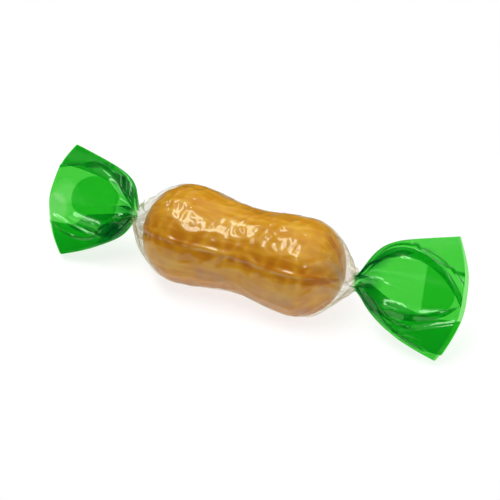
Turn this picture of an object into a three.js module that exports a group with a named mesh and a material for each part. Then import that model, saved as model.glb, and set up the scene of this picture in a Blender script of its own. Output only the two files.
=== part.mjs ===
// A hard candy cast in the shape of a peanut shell, in a twisted wrapper.
//
// The candy is one solid: two round lobes with a shallow waist between them, a lengthwise
// parting crease and a low net of ribs, as on a peanut shell. The wrapper is one sheet of
// film wound round it. It hugs the candy, tents down at each end to a tight twisted neck
// with spiral pleats, and flares beyond the neck into a flattened, pleated fan. The film
// is a wall of constant thickness with a fine channel through each neck, so it is one
// open tube from cut edge to cut edge.
//
// Units are millimetres, +Z is up, and X runs along the candy. The wrapped candy lies on
// z = 0 on a small flat spot under each lobe, and the origin is the middle of its footprint.

import * as THREE from 'three';
import { ParametricGeometry } from 'three/addons/geometries/ParametricGeometry.js';

// ---- Driving dimensions ------------------------------------------------------------

const LEFT_LOBE = 7.6; // radius of the candy's lobe at -X
const RIGHT_LOBE = 7.45; // radius of the lobe at +X
const LOBE_SPACING = 19; // between the centres of the lobes
const WAIST_DEPTH = 1.05; // how far the waist draws in from the lobes

const CREASE_ANGLE = THREE.MathUtils.degToRad(153); // parting crease, from +Y towards +Z
const CREASE_DEPTH = 0.3;
const RIB_HEIGHT = 0.16; // net of ribs, below the lobes' radius
const RIBS_AROUND = 12;
const RUNG_PITCH = 3.6; // between the net's cross ribs
const RUNG_SHARE = 0.8; // height of the cross ribs against the lengthwise ones
const BARE_TIP = { start: 2, end: 6 }; // outline radii between which the net fades in

const WALL = 0.3; // thickness of the film's wall
const GAP = 0.3; // between the candy and the film
const PRESS = 0.25; // how far the film's underside is pressed flat

const NECK_DISTANCE = 18.9; // from the middle of the candy to each neck
const NECK_RADIUS = 1.45;
const PLEATS = 7; // pleats around a neck
const PLEAT_HEIGHT = 0.32;
const PLEAT_SPIN = 0.7; // radians that the pleats wind round each cone

const FAN_TILT = THREE.MathUtils.degToRad(54); // a fan's wide direction, up from +Y
const FLARE_POWER = 0.42; // how fast a fan opens: 1 is a straight cone
const FAN_SWELL = 0.35; // extra half thickness where a fan opens
const FAN_EDGE = 0.95; // half thickness at the cut edge
const WAVE_HEIGHT = 0.7; // waves that both faces of a fan share, at the cut edge
const WAVES = 1.4; // waves across a fan
const SIDE_SHARE = 0.2; // share of a fan's section that its round sides take
const PLEAT_LOSS = 0.3; // share of the pleats' height lost at the cut edge
const POCKET_SLOPE = 0.6; // share of a pocket's radius that its slope takes
const FAN_GRADING = 1.6; // how much closer the stations stand near the neck

// Each fan: its length at the middle of the cut edge, how far the corners fall short of
// that, the difference between the corners, half the width across the corners, the shift
// of the cut edge along the wide direction, and the round pocket on its front face.
const RIGHT_FAN = {
  side: 1,
  length: 17.2,
  bulge: 2.85,
  skew: -0.55,
  halfWidth: 9.4,
  shift: 1.1,
  phase: 0.6,
  pocket: { along: 7.6, across: -0.3, radius: 4.6, height: 1.3 },
};
const LEFT_FAN = {
  side: -1,
  length: 15.2,
  bulge: 3.55,
  skew: 1.05,
  halfWidth: 8.65,
  shift: -0.65,
  phase: 2.4,
  pocket: { along: 6.4, across: 0.8, radius: 4.2, height: 1.3 },
};

const CANDY_SEGMENTS = { around: 36, along: 32 };
const FILM_SEGMENTS = { around: 40, body: 18, cone: 7, fan: 10 };

// ---- The candy's profile -----------------------------------------------------------

const HALF_SPACING = LOBE_SPACING / 2;

/** Share of the way from the left lobe's centre to the right one's, 0 to 1. */
function betweenLobes(x) {
  return THREE.MathUtils.clamp(x / LOBE_SPACING + 0.5, 0, 1);
}

/** Radius of the lobe at this end, blended evenly along the middle. */
function lobeRadius(x) {
  return THREE.MathUtils.lerp(LEFT_LOBE, RIGHT_LOBE, betweenLobes(x));
}

/** Height of the candy's axis, so that both lobes lie on the floor. */
function axisHeight(x) {
  return lobeRadius(x) + GAP + WALL - PRESS;
}

/**
 * Radius at x of the peanut's outline grown by `margin`: a cosine waist between the
 * lobes' centres, and a quarter circle beyond each of them.
 */
function outlineRadius(x, margin) {
  const radius = lobeRadius(x) + margin;
  const beyond = Math.abs(x) - HALF_SPACING;
  if (beyond <= 0) {
    return radius - (WAIST_DEPTH * (1 + Math.cos((Math.PI * x) / HALF_SPACING))) / 2;
  }
  return Math.sqrt(Math.max(radius ** 2 - beyond ** 2, 0));
}

/** Height of the candy's surface relief at x and angle, 0 at the ribs and below elsewhere. */
function candyRelief(x, angle) {
  const around = (1 + Math.cos(RIBS_AROUND * (angle - CREASE_ANGLE) + Math.PI)) / 2;
  const rung = (1 + Math.cos((2 * Math.PI * x) / RUNG_PITCH)) / 2;
  const fade = THREE.MathUtils.smoothstep(outlineRadius(x, 0), BARE_TIP.start, BARE_TIP.end);
  return -RIB_HEIGHT * fade * (1 - Math.max(around, RUNG_SHARE * rung));
}

/** Depth of the parting crease at an angle: a narrow groove on both sides of the candy. */
function creaseDepth(angle) {
  const off = Math.abs(Math.sin(angle - CREASE_ANGLE));
  return CREASE_DEPTH * Math.max(0, 1 - off / Math.sin((2 * Math.PI) / CANDY_SEGMENTS.around));
}

/** The candy: a sphere whose meridians are laid along the peanut's outline. */
function candyGeometry() {
  const geometry = new THREE.SphereGeometry(1, CANDY_SEGMENTS.around, CANDY_SEGMENTS.along);
  geometry.rotateZ(-Math.PI / 2);
  geometry.rotateX(CREASE_ANGLE);
  const quarterArc = (Math.PI / 2) * ((LEFT_LOBE + RIGHT_LOBE) / 2);
  const meridian = LOBE_SPACING + 2 * quarterArc;
  const floor = WALL + GAP;
  const vertices = geometry.attributes.position;
  const point = new THREE.Vector3();
  for (let i = 0; i < vertices.count; i += 1) {
    point.fromBufferAttribute(vertices, i);
    const travelled = (1 - Math.acos(THREE.MathUtils.clamp(point.x, -1, 1)) / Math.PI) * meridian;
    const fromMiddle = travelled - meridian / 2;
    const onEnd = Math.max(0, Math.abs(fromMiddle) - HALF_SPACING) / quarterArc;
    const angle = Math.atan2(point.z, point.y);
    const side = Math.sign(fromMiddle);
    const x =
      onEnd > 0
        ? side * (HALF_SPACING + lobeRadius(fromMiddle) * Math.sin((onEnd * Math.PI) / 2))
        : fromMiddle;
    const radius =
      onEnd >= 1 ? 0 : outlineRadius(x, 0) + candyRelief(x, angle) - creaseDepth(angle);
    const height = axisHeight(x) + Math.max(radius, 0) * Math.sin(angle);
    vertices.setXYZ(i, x, Math.max(radius, 0) * Math.cos(angle), Math.max(height, floor));
  }
  return geometry;
}

// ---- The film ----------------------------------------------------------------------

const WIDE = new THREE.Vector3(0, Math.cos(FAN_TILT), Math.sin(FAN_TILT));
const FACING = new THREE.Vector3(0, -Math.sin(FAN_TILT), Math.cos(FAN_TILT));

/** Where the film leaves the candy for the neck: the point where that line is tangent. */
function tangentPoint(side) {
  const radius = lobeRadius(side * HALF_SPACING) + GAP + WALL;
  const run = NECK_DISTANCE - HALF_SPACING;
  const rise = Math.atan2(NECK_RADIUS, run);
  const angle = rise + Math.acos(radius / Math.hypot(run, NECK_RADIUS));
  return { x: HALF_SPACING + radius * Math.cos(angle), radius: radius * Math.sin(angle) };
}

const LEFT_TANGENT = tangentPoint(-1);
const RIGHT_TANGENT = tangentPoint(1);

/** Share of the way down the cone from the candy to the neck, 0 where the film hugs it. */
function coneShare(x) {
  const tangent = x < 0 ? LEFT_TANGENT : RIGHT_TANGENT;
  return Math.max(0, (Math.abs(x) - tangent.x) / (NECK_DISTANCE - tangent.x));
}

/** Outer radius of the film at x, along the candy and down the cones to the necks. */
function filmRadius(x) {
  const share = coneShare(x);
  if (share === 0) {
    return outlineRadius(x, GAP + WALL);
  }
  const start = (x < 0 ? LEFT_TANGENT : RIGHT_TANGENT).radius;
  return THREE.MathUtils.lerp(start, NECK_RADIUS, share);
}

/** A point of the cross-section plane at x, from its wide and facing coordinates. */
function inSection(x, wide, facing) {
  return new THREE.Vector3(x, 0, axisHeight(x))
    .addScaledVector(WIDE, wide)
    .addScaledVector(FACING, facing);
}

/** Keeps a point of the film on or above the floor, the inner face a wall's thickness up. */
function onFloor(point, inset) {
  point.z = Math.max(point.z, inset);
  return point;
}

/** A point of the film between the necks: round, with pleats that wind into the necks. */
function bodyPoint(x, angle, inset) {
  const share = coneShare(x);
  const spin = Math.sign(x) * PLEAT_SPIN * (share - 1);
  const pleat = PLEAT_HEIGHT * Math.sqrt(share) * Math.cos(PLEATS * (angle + spin));
  const radius = filmRadius(x) + pleat - inset;
  return inSection(x, radius * Math.cos(angle), radius * Math.sin(angle));
}

/** A wave of straight lines from +1 at angle 0 to -1 at half a turn, level round both. */
function triangleWave(angle) {
  const turn = THREE.MathUtils.euclideanModulo(angle, 2 * Math.PI) / Math.PI;
  const wave = (1 - 2 * Math.min(turn, 2 - turn)) / (1 - SIDE_SHARE);
  return THREE.MathUtils.clamp(wave, -1, 1);
}

/** Bulge of a fan's round pocket, highest at its middle and level with the film outside. */
function pocketBulge(pocket, along, across) {
  const reach = Math.hypot(along - pocket.along, across - pocket.across) / pocket.radius;
  return pocket.height * THREE.MathUtils.smoothstep(1 - reach, 0, POCKET_SLOPE);
}

/**
 * A point of a fan, `share` of the way from the neck to the cut edge. Its section is a
 * flat tube: two nearly straight faces with round sides. The pleats cross both faces.
 */
function fanPoint(fan, share, angle, inset) {
  const opened = NECK_RADIUS + (fan.halfWidth - NECK_RADIUS) * share ** FLARE_POWER;
  const thinned = THREE.MathUtils.lerp(NECK_RADIUS, FAN_EDGE, share);
  const thick = thinned + FAN_SWELL * Math.sin(Math.PI * Math.sqrt(share));
  const flat = Math.max(opened - thick, 0);
  const pleat = PLEAT_HEIGHT * (1 - PLEAT_LOSS * share) * Math.cos(PLEATS * angle);
  const half = thick + pleat - inset;
  const across = flat * triangleWave(angle) + half * Math.cos(angle);
  const relative = across / opened;
  const along = share * (fan.length - fan.bulge * relative ** 2 + fan.skew * relative);
  const shared = WAVE_HEIGHT * share * Math.sin(2 * WAVES * relative * Math.PI + fan.phase);
  const front = Math.max(0, Math.sin(angle));
  const facing = half * Math.sin(angle) + shared + front * pocketBulge(fan.pocket, along, across);
  const wide = across + fan.shift * share;
  return inSection(fan.side * (NECK_DISTANCE + along), wide, facing);
}

/** The stations along the film, each a function from angle and inset to a point. */
function filmStations() {
  const stations = [];
  const { body, cone, fan } = FILM_SEGMENTS;
  for (let i = fan; i > 0; i -= 1) {
    stations.push((angle, inset) => fanPoint(LEFT_FAN, (i / fan) ** FAN_GRADING, angle, inset));
  }
  for (let i = 0; i < cone; i += 1) {
    const x = THREE.MathUtils.lerp(-NECK_DISTANCE, -LEFT_TANGENT.x, i / cone);
    stations.push((angle, inset) => bodyPoint(x, angle, inset));
  }
  for (let i = 0; i <= body; i += 1) {
    const x = THREE.MathUtils.lerp(-LEFT_TANGENT.x, RIGHT_TANGENT.x, i / body);
    stations.push((angle, inset) => bodyPoint(x, angle, inset));
  }
  for (let i = 1; i <= cone; i += 1) {
    const x = THREE.MathUtils.lerp(RIGHT_TANGENT.x, NECK_DISTANCE, i / cone);
    stations.push((angle, inset) => bodyPoint(x, angle, inset));
  }
  for (let i = 1; i <= fan; i += 1) {
    stations.push((angle, inset) => fanPoint(RIGHT_FAN, (i / fan) ** FAN_GRADING, angle, inset));
  }
  return stations;
}

/** The film: along its outer face to the right cut edge, and back along its inner face. */
function wrapperGeometry() {
  const stations = filmStations();
  const count = stations.length;
  return new ParametricGeometry(
    (u, v, target) => {
      const step = Math.round(u * 2 * count) % (2 * count);
      const inner = step >= count;
      const station = stations[inner ? 2 * count - 1 - step : step];
      const angle = -v * 2 * Math.PI;
      const inset = inner ? WALL : 0;
      target.copy(onFloor(station(angle, inset), inset));
    },
    2 * count,
    FILM_SEGMENTS.around,
  );
}

// ---- The wrapped candy -------------------------------------------------------------

const candy = new THREE.Mesh(
  candyGeometry(),
  new THREE.MeshStandardMaterial({ color: 0xc98c3c, roughness: 0.3, metalness: 0 }),
);
candy.name = 'candy';

const wrapper = new THREE.Mesh(
  wrapperGeometry(),
  new THREE.MeshStandardMaterial({
    color: 0x2fb43a,
    roughness: 0.12,
    metalness: 0,
    transparent: true,
    opacity: 0.45,
  }),
);
wrapper.name = 'wrapper';

const group = new THREE.Group();
group.name = 'wrapped_hard_candy';
group.add(candy, wrapper);

const footprint = new THREE.Box3().setFromObject(group).getCenter(new THREE.Vector3());
for (const piece of [candy, wrapper]) {
  piece.position.set(-footprint.x, -footprint.y, 0);
}

export default group;
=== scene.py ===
"""A twist-wrapped hard candy: a cast sugar peanut seen through cellophane film.

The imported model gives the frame. This script replaces its two solids with fine surfaces:
the candy with its net of ribs and its parting crease, and the film as thin shells, clear
over the candy and green beyond the twisted necks. All shapes are surfaces of two
parameters worked out with numpy, in millimetres in the candy's own frame, where x = 0 is
the middle of the candy and z = 0 the surface that it lies on.
"""

from __future__ import annotations

import logging
import math
from dataclasses import dataclass
from enum import Enum

import bpy
import numpy as np
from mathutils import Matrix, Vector

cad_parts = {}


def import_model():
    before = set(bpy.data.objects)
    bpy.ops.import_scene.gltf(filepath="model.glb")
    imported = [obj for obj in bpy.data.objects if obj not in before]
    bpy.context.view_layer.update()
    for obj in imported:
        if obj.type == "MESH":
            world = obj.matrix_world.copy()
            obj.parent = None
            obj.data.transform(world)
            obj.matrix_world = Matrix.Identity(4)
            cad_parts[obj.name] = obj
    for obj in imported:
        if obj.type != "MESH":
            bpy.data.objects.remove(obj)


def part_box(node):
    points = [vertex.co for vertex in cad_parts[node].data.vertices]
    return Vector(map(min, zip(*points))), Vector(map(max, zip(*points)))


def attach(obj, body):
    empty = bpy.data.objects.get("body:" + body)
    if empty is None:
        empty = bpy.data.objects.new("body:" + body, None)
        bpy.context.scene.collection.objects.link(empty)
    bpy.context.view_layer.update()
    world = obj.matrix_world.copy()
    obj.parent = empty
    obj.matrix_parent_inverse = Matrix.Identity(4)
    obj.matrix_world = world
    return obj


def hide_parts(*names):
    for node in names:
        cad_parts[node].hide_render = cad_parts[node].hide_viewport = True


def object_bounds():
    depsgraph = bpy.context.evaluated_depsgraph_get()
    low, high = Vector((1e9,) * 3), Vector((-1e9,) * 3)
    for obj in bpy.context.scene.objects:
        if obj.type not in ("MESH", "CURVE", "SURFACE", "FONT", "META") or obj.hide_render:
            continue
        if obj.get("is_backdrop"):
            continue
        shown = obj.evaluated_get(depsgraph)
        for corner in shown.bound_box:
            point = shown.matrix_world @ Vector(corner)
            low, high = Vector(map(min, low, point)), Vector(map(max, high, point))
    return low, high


MM = 0.001
TURN = 2 * math.pi
TINY = 1e-9
MIX_FIRST, MIX_SECOND, MIX_RESULT = 6, 7, 2

Grid = np.ndarray
Triple = tuple[float, float, float]
Colour = tuple[float, float, float]
Place = tuple[float, float]
Span = tuple[float, float]
Waves = tuple[tuple[float, float, float, float], ...]
Piece = bpy.types.Object
Material = bpy.types.Material
Node = bpy.types.Node
Socket = bpy.types.NodeSocket
Inputs = dict[str | int, object]

WHITE: Colour = (1.0, 1.0, 1.0)
EVEN: Triple = (1.0, 1.0, 1.0)

log = logging.getLogger("wrapped_candy")


class Side(Enum):
    """The two ends of the wrapped candy."""

    LEFT = -1
    RIGHT = 1


class Face(Enum):
    """The two faces of a flattened fan."""

    FRONT = 1
    BACK = -1


# ---- Small helpers ----


def smoothstep(value: Grid | float, start: Grid | float, end: Grid | float) -> Grid | float:
    """Eases from 0 at start to 1 at end, level at both: 3t² - 2t³ of the share t of the way."""
    share = np.clip((value - start) / (end - start), 0.0, 1.0)
    return share * share * (3 - 2 * share)


def triangle(angle: Grid) -> Grid:
    """A wave of straight lines, +1 at angle 0 and -1 at half a turn."""
    turn = np.mod(angle, TURN) / math.pi
    return 1 - 2 * np.minimum(turn, 2 - turn)


def lerp(start: Grid | float, end: Grid | float, share: Grid | float) -> Grid | float:
    """The value at a share of the way from start to end."""
    return start + (end - start) * share


def bell(distance: Grid, width: float) -> Grid:
    """A bell curve, 1 at no distance and 1/e at one width."""
    return np.exp(-((distance / width) ** 2))


def ebb(share: Grid, left: float, reach: float) -> Grid:
    """Dies away from 1 at share 0 towards what is left, as an exponential of this reach."""
    return left + (1 - left) * np.exp(-share / reach)


def wavy(x: Grid, angle: Grid, waves: Waves) -> Grid:
    """A sum of sines, each with its height, its length along x, its turns and its phase."""
    parts = (size * np.sin(x / length + turns * angle + phase) for size, length, turns, phase in waves)
    return sum(parts)


@dataclass(frozen=True)
class Crumple:
    """Straight creases with flat facets between them, as in crumpled cellophane.

    The height is a sum of folded plane waves. Each wave is a triangle wave along a random
    direction, or nearer to a sine where the sharpness is under 1, and fades in and out along
    a slower random wave, so its creases start and end.
    """

    seed: int
    waves: int
    height: float
    shortest: float
    longest: float
    stretch: float = 1.0
    sharpness: float = 1.0
    slowness: float = 2.6
    fade: Span = (-0.5, 0.6)

    def height_at(self, *place: Grid) -> Grid:
        """The crumpled height at a place.

        Args:
            place: The place's coordinates in millimetres, two on a sheet or three in space.
                Creases are drawn out along the first by the factor stretch.

        Returns:
            The height in millimetres, about -1 to 1 times the named height.
        """
        draw = np.random.default_rng(self.seed)
        total = np.zeros(np.broadcast(*place).shape)
        for _ in range(self.waves):
            heading, slow_heading = draw.normal(size=(2, len(place)))
            heading[0] /= self.stretch
            heading /= np.linalg.norm(heading)
            slow_heading /= np.linalg.norm(slow_heading)
            length = draw.uniform(self.shortest, self.longest)
            phase, slow_phase = draw.uniform(0, TURN, size=2)
            travelled = sum(part * coordinate for part, coordinate in zip(heading, place))
            drifted = sum(part * coordinate for part, coordinate in zip(slow_heading, place))
            turned = TURN * travelled / length + phase
            wave = lerp(np.cos(turned), triangle(turned), self.sharpness)
            slow = np.sin(TURN * drifted / (self.slowness * length) + slow_phase)
            total += wave * smoothstep(slow, *self.fade) * length / self.longest
        return self.height * total / math.sqrt(self.waves)


# ---- Meshes from grids ----


def point_index(rows: int, columns: int, closed: bool) -> Grid:
    """Indices of a grid's points, with the first column once more at the end if closed."""
    index = np.arange(rows * columns).reshape(rows, columns)
    return np.hstack([index, index[:, :1]]) if closed else index


def grid_quads(index: Grid) -> Grid:
    """Quads between a grid's neighbours, four indices each, first across and then along."""
    quads = np.stack([index[:-1, :-1], index[:-1, 1:], index[1:, 1:], index[1:, :-1]], axis=-1)
    return quads.reshape(-1, 4)


def rim_edges(index: Grid, closed: bool) -> Grid:
    """Edges round the rim of a grid, each the opposite way to its quad's own edge.

    Args:
        index: The grid's point indices.
        closed: True if the columns close on themselves, so that only rows have a rim.

    Returns:
        Pairs of indices along the first row backwards and the last row forwards, and on an
        open grid along the first column forwards and the last column backwards.
    """
    lines = [index[0, ::-1], index[-1]]
    if not closed:
        lines += [index[:, 0], index[::-1, -1]]
    return np.concatenate([np.stack([line[:-1], line[1:]], axis=-1) for line in lines])


def surface_normals(points: Grid, closed: bool) -> Grid:
    """Unit normals of a grid of points, from the slopes between its neighbours.

    Args:
        points: Rows by columns by three coordinates.
        closed: True if the columns close on themselves.

    Returns:
        The cross product of the slope across and the slope along, at length 1.
    """
    along = np.gradient(points, axis=0)
    if closed:
        across = np.roll(points, -1, axis=1) - np.roll(points, 1, axis=1)
    else:
        across = np.gradient(points, axis=1)
    normal = np.cross(across, along)
    return normal / np.maximum(np.linalg.norm(normal, axis=-1, keepdims=True), TINY)


def add_object(name: str, data: bpy.types.ID) -> Piece:
    """Puts an object into the scene.

    Args:
        name: Its name.
        data: Its mesh, light or camera.

    Returns:
        The object.
    """
    made = bpy.data.objects.new(name, data)
    bpy.context.scene.collection.objects.link(made)
    return made


def mesh_object(name: str, points: Grid, faces: list[Grid], shift: float) -> Piece:
    """Makes a smooth mesh object from points in the candy's frame.

    Args:
        name: The object's name.
        points: Three coordinates a point, in millimetres.
        faces: Arrays of point indices, each of triangles or of quads.
        shift: Where the middle of the candy lies along X, in millimetres.

    Returns:
        The object, at the origin, with its place in its mesh in metres.
    """
    placed = (points.reshape(-1, 3) + (shift, 0.0, 0.0)) * MM
    mesh = bpy.data.meshes.new(name)
    mesh.from_pydata(placed, [], [face for group in faces for face in group.tolist()])
    mesh.polygons.foreach_set("use_smooth", np.ones(len(mesh.polygons), dtype=bool))
    mesh.update()
    return add_object(name, mesh)


def set_attribute(piece: Piece, name: str, values: Grid) -> None:
    """Stores one number a point on a piece, for its material to read."""
    layer = piece.data.attributes.new(name, "FLOAT", "POINT")
    layer.data.foreach_set("value", values.astype(np.float32).ravel())


# ---- Finishes ----


class Nodes:
    """The node tree of a material or a world, with short ways to add and join its nodes."""

    def __init__(self, owner: Material | bpy.types.World, output: str) -> None:
        """Clears the owner's tree and adds its output.

        Args:
            owner: The material or world.
            output: The kind of its output node.
        """
        owner.use_nodes = True
        self.owner = owner
        self.tree = owner.node_tree
        self.tree.nodes.clear()
        self.output = self.add(output)

    @classmethod
    def of_material(cls, name: str) -> Nodes:
        """The tree of a new material with this name."""
        return cls(bpy.data.materials.new(name), "ShaderNodeOutputMaterial")

    def feed(self, value: Socket | Colour | float, target: Socket) -> None:
        """Links an output to an input, or sets the input to a constant.

        Args:
            value: An output, or a number or colour.
            target: The input.
        """
        if isinstance(value, Socket):
            self.tree.links.new(value, target)
        elif target.type == "RGBA":
            target.default_value = (*value, 1.0)
        else:
            target.default_value = value

    def add(self, kind: str, inputs: Inputs | None = None, **settings: object) -> Node:
        """Adds a node.

        Args:
            kind: Its type.
            inputs: What goes into its inputs, by their names or numbers.
            settings: Its named properties.

        Returns:
            The node.
        """
        node = self.tree.nodes.new(kind)
        for name, value in settings.items():
            setattr(node, name, value)
        for key, value in (inputs or {}).items():
            self.feed(value, node.inputs[key])
        return node

    def show(self, shader: Node) -> Material | bpy.types.World:
        """Puts a shader on the surface, and gives back the finished material or world."""
        self.feed(shader.outputs[0], self.output.inputs["Surface"])
        return self.owner

    def attribute(self, name: str) -> Socket:
        """A point attribute's value."""
        return self.add("ShaderNodeAttribute", attribute_name=name).outputs["Fac"]

    def noise(
        self, scale: float, detail: float, distortion: float = 0.0, stretch: Triple = EVEN
    ) -> Socket:
        """A noise texture over Object coordinates.

        Args:
            scale: How many clouds there are to a metre.
            detail: How many finer layers it has.
            distortion: How far the clouds are pulled about.
            stretch: Three factors by which the coordinates are scaled first.

        Returns:
            The noise's value, 0 to 1.
        """
        place = self.add("ShaderNodeTexCoord").outputs["Object"]
        mapped = self.add("ShaderNodeMapping", {"Vector": place, "Scale": stretch}).outputs[0]
        settings = {"Vector": mapped, "Scale": scale, "Detail": detail, "Distortion": distortion}
        return self.add("ShaderNodeTexNoise", settings).outputs["Fac"]

    def ramp(self, value: Socket, span: Span, first: Colour, last: Colour) -> Socket:
        """A colour ramp.

        Args:
            value: Where the ramp is read.
            span: The values at which its two colours stand.
            first: The colour at the start of the span.
            last: The colour at the end of it.

        Returns:
            The colour.
        """
        node = self.add("ShaderNodeValToRGB", {"Fac": value})
        for element, place, colour in zip(node.color_ramp.elements, span, (first, last)):
            element.position = place
            element.color = (*colour, 1.0)
        return node.outputs["Color"]

    def blend(self, share: Socket | float, first: Socket | Colour, second: Socket | Colour) -> Socket:
        """Mixes two colours by a share."""
        inputs = {0: share, MIX_FIRST: first, MIX_SECOND: second}
        return self.add("ShaderNodeMix", inputs, data_type="RGBA").outputs[MIX_RESULT]

    def math(self, kind: str, *values: Socket | float) -> Socket:
        """A math node of one kind over outputs and numbers."""
        return self.add("ShaderNodeMath", dict(enumerate(values)), operation=kind).outputs[0]

    def bump(self, height: Socket, strength: float, distance: float) -> Socket:
        """A bumped normal from a height, its distance in metres."""
        inputs = {"Height": height, "Strength": strength, "Distance": distance}
        return self.add("ShaderNodeBump", inputs).outputs["Normal"]

    def mix(self, share: Socket, first: Node, second: Node) -> Node:
        """Mixes two shaders by a share."""
        return self.add("ShaderNodeMixShader", {0: share, 1: first.outputs[0], 2: second.outputs[0]})


@dataclass(frozen=True)
class SugarFinish:
    """Boiled sugar the colour of caramel, pulled lengthwise, so streaks run along it."""

    light: Colour = (0.88, 0.475, 0.035)
    amber: Colour = (0.75, 0.32, 0.009)
    # the dark amber of painted shade and of the grain
    grain_and_shade_amber: Colour = (0.62, 0.20, 0.001)
    shine: Colour = (0.86, 1.0, 0.7)
    roughness: float = 0.27
    refraction: float = 1.4
    gloss: float = 0.26
    streak_stretch: Triple = (55.0, 1100.0, 1100.0)
    streak_detail: float = 4.0
    streak_distortion: float = 0.4
    streak_span: Span = (0.4, 0.6)
    streak_strength: float = 0.25
    streak_height: float = 0.00006
    cloud_scale: float = 160.0
    cloud_detail: float = 2.0
    cloud_span: Span = (0.35, 0.65)
    cloud_share: float = 0.35
    glow: float = 0.35
    glow_reach: float = 0.003
    glow_spread: Triple = (1.0, 0.45, 0.1)

    def make(self) -> Material:
        """Builds the material.

        Returns:
            A glossy sugar whose colour mixes fine lengthwise streaks and soft clouds, and
            deepens to dark amber by a point attribute of painted shade and grain.
        """
        nodes = Nodes.of_material("caramel_sugar")
        streaks = nodes.noise(1.0, self.streak_detail, self.streak_distortion, self.streak_stretch)
        clouds = nodes.noise(self.cloud_scale, self.cloud_detail)
        streaked = nodes.ramp(streaks, self.streak_span, self.amber, self.light)
        clouded = nodes.ramp(clouds, self.cloud_span, self.amber, self.light)
        mixed = nodes.blend(self.cloud_share, streaked, clouded)
        surface = nodes.add(
            "ShaderNodeBsdfPrincipled",
            {
                # painted shade and grain deepen the colour here
                "Base Color": nodes.blend(nodes.attribute("shade_and_grain"), mixed, self.grain_and_shade_amber),
                "Roughness": self.roughness,
                "IOR": self.refraction,
                "Specular IOR Level": self.gloss,
                "Specular Tint": self.shine,
                "Subsurface Weight": self.glow,
                "Subsurface Radius": self.glow_spread,
                "Subsurface Scale": self.glow_reach,
                "Normal": nodes.bump(streaks, self.streak_strength, self.streak_height),
            },
        )
        return nodes.show(surface)


@dataclass(frozen=True)
class CellophaneFinish:
    """Thin glossy film. Each face tints what is seen through it, so layers deepen it.

    The tints are what one face lets through: two faces make a layer of film.
    """

    clear: Colour = (0.98, 0.98, 0.972)
    green: Colour = (0.505, 0.892, 0.46)
    worn_clear: Colour = (0.95, 0.94, 0.915)
    worn_green: Colour = (0.36, 0.74, 0.38)
    clear_haze: Colour = (0.92, 0.84, 0.72)
    green_haze: Colour = (0.01, 0.40, 0.40)
    clear_shine: Colour = (0.7, 0.82, 0.64)
    green_shine: Colour = (0.95, 1.0, 0.95)
    haze: float = 0.003
    worn_haze: float = 0.075
    dyed_worn_share: float = 0.2
    dye_haze: float = 0.016
    gloss_roughness: float = 0.06
    facing_gloss: float = 0.028
    grazing_gloss: float = 0.25
    grazing_power: float = 5.0
    ripple_scale: float = 520.0
    ripple_detail: float = 3.0
    ripple_distortion: float = 0.8
    ripple_line: float = 0.5
    ripple_height: float = 0.00005

    def make(self) -> Material:
        """Builds the material.

        Returns:
            A transparent shader tinted by the attribute "green", with a haze that grows with
            the dye, under a gloss that rises towards grazing as the fifth power of one less
            the cosine. The attribute "worn" deepens the tint and the haze where the film is
            creased over and over. The gloss is rippled along the lines where a noise passes
            its middle value.
        """
        nodes = Nodes.of_material("cellophane")
        green, worn = nodes.attribute("green"), nodes.attribute("worn")
        fresh = nodes.blend(green, self.clear, self.green)
        creased = nodes.blend(green, self.worn_clear, self.worn_green)
        tint = nodes.blend(worn, fresh, creased)
        through = nodes.add("ShaderNodeBsdfTransparent", {"Color": tint})
        mist = nodes.blend(green, self.clear_haze, self.green_haze)
        haze = nodes.add("ShaderNodeBsdfDiffuse", {"Color": mist})
        clearing = nodes.math("MULTIPLY_ADD", green, self.dyed_worn_share - 1, 1.0)
        wrinkled = nodes.math("MULTIPLY", worn, clearing)
        milky = nodes.math("MULTIPLY_ADD", wrinkled, self.worn_haze, self.haze)
        hazy = nodes.math("MULTIPLY_ADD", green, self.dye_haze, milky)
        body = nodes.mix(hazy, through, haze)

        noise = nodes.noise(self.ripple_scale, self.ripple_detail, self.ripple_distortion)
        ripples = nodes.math("ABSOLUTE", nodes.math("SUBTRACT", noise, self.ripple_line))
        shine = nodes.blend(green, self.clear_shine, self.green_shine)
        normal = nodes.bump(ripples, 1.0, self.ripple_height)
        gloss = nodes.add(
            "ShaderNodeBsdfGlossy",
            {"Color": shine, "Roughness": self.gloss_roughness, "Normal": normal},
        )
        facing = nodes.add("ShaderNodeLayerWeight").outputs["Facing"]
        rise = nodes.math("POWER", facing, self.grazing_power)
        share = nodes.math("MULTIPLY_ADD", rise, self.grazing_gloss, self.facing_gloss)
        return nodes.show(nodes.mix(share, body, gloss))


@dataclass(frozen=True)
class FloorFinish:
    """A plain pale studio floor, lit a little from below, with the faintest unevenness."""

    pale: Colour = (0.32, 0.32, 0.32)
    shade: Colour = (0.31, 0.31, 0.31)
    cloud_scale: float = 3.0
    cloud_detail: float = 2.0
    cloud_span: Span = (0.3, 0.7)
    roughness: float = 0.6
    glow: float = 0.78

    def make(self) -> Material:
        """Builds the material.

        Returns:
            A matt white with slow, very faint clouds.
        """
        nodes = Nodes.of_material("studio_floor")
        clouds = nodes.noise(self.cloud_scale, self.cloud_detail)
        surface = nodes.add(
            "ShaderNodeBsdfPrincipled",
            {
                "Base Color": nodes.ramp(clouds, self.cloud_span, self.shade, self.pale),
                "Roughness": self.roughness,
                "Specular IOR Level": 0.0,
                "Emission Color": WHITE,
                "Emission Strength": self.glow,
            },
        )
        return nodes.show(surface)


# ---- The candy ----


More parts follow.
